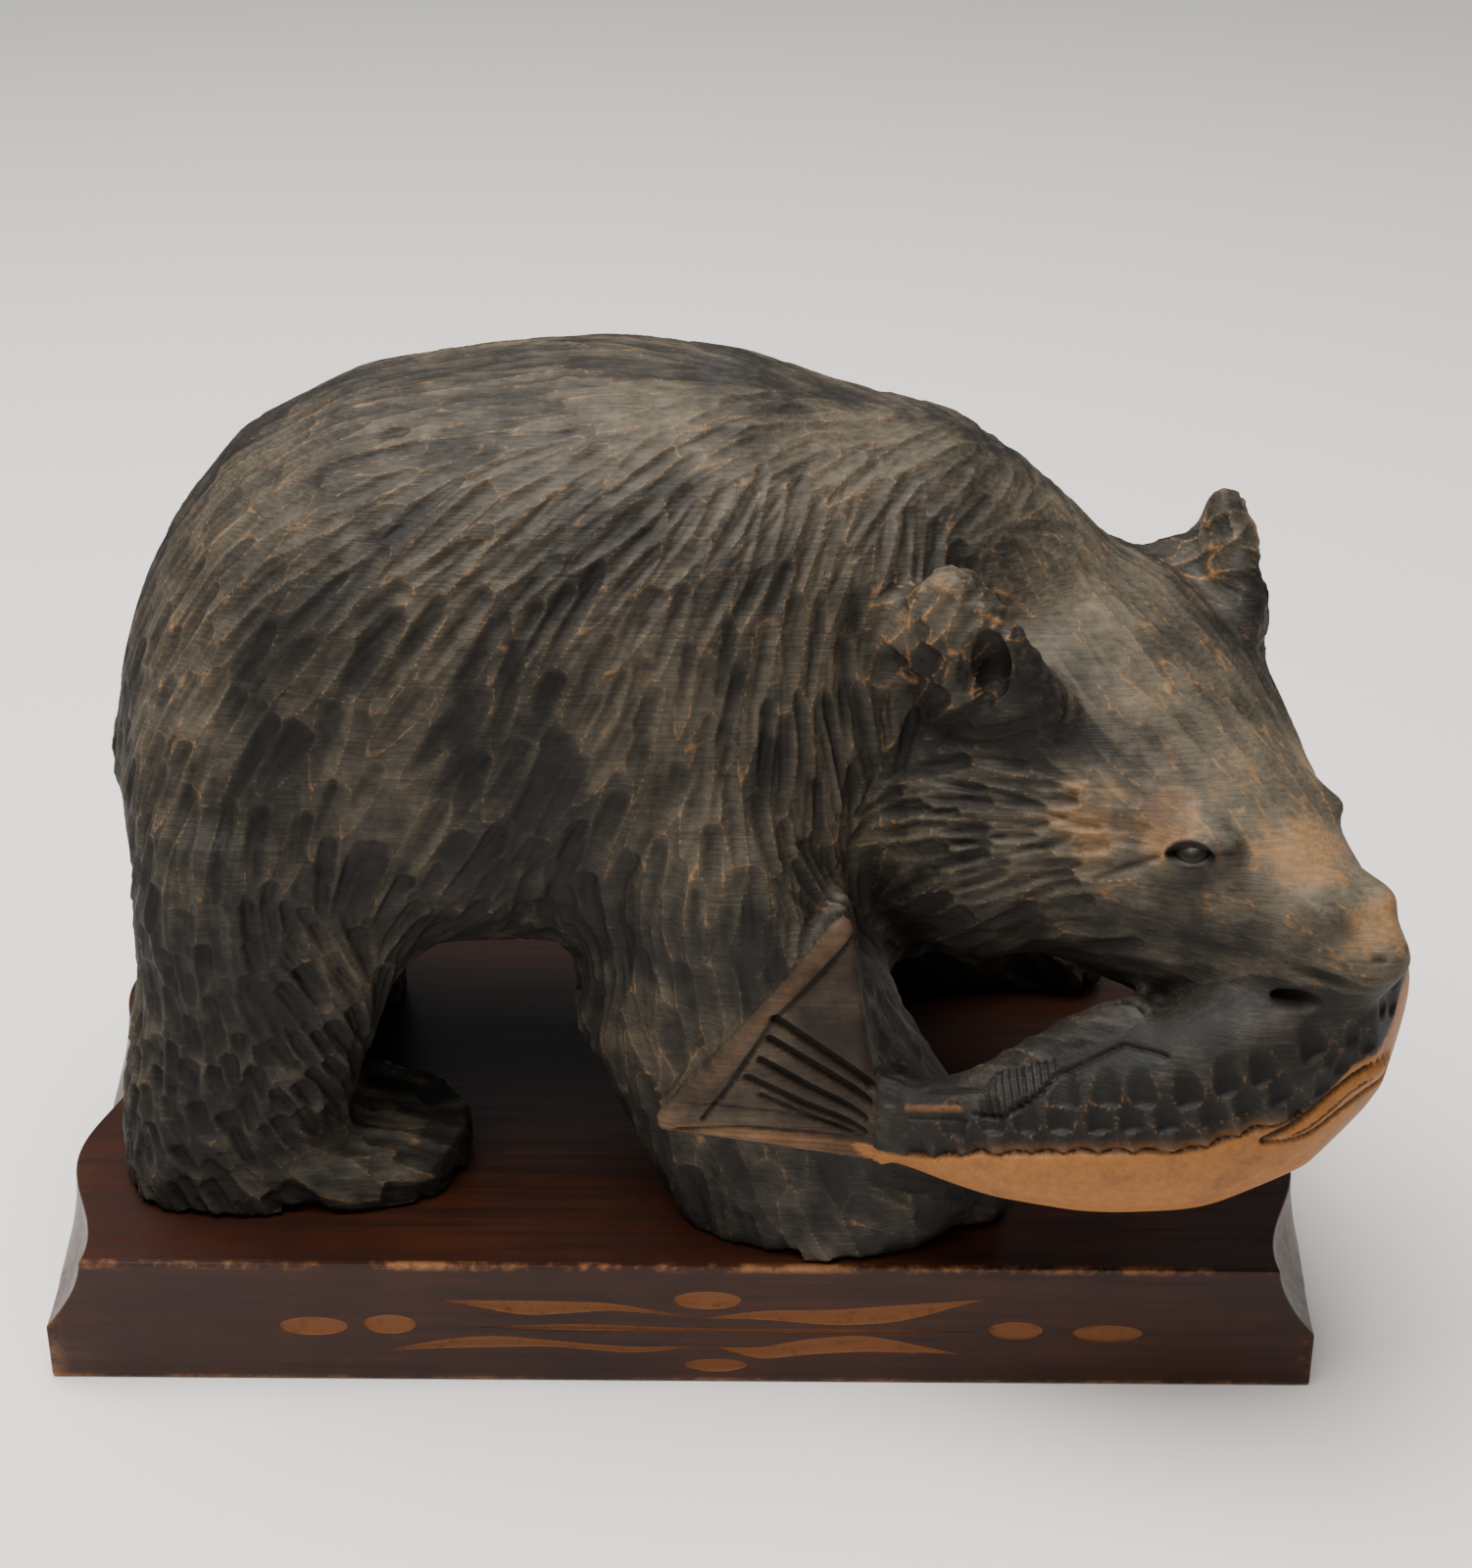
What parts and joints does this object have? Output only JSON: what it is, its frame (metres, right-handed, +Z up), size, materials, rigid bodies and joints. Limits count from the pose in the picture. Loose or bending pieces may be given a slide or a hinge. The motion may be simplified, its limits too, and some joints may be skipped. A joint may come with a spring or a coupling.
{
  "type": "carved wooden bear statue",
  "caption": "Walking bear carved in one block with the salmon in its jaws, its head turned aside and down, on a low board plinth with coved ends and chip carving.",
  "frame": {"origin": "middle of the plinth's flat underside", "axes": "+X the way the bear walks, along the plinth; -Y the side its head turns to, with the chip carving; +Z up"},
  "size_m": [0.3144, 0.1813, 0.2284],
  "materials": {
    "stained_fur": "dark stained wood with gouge-cut fur, worn to ochre on its ridges",
    "mahogany_stain": "satin mahogany-stained board with pale chip cuts"
  },
  "bodies": {
    "root": {"bear_with_salmon": "stained_fur", "plinth": "mahogany_stain"}
  },
  "joints": []
}
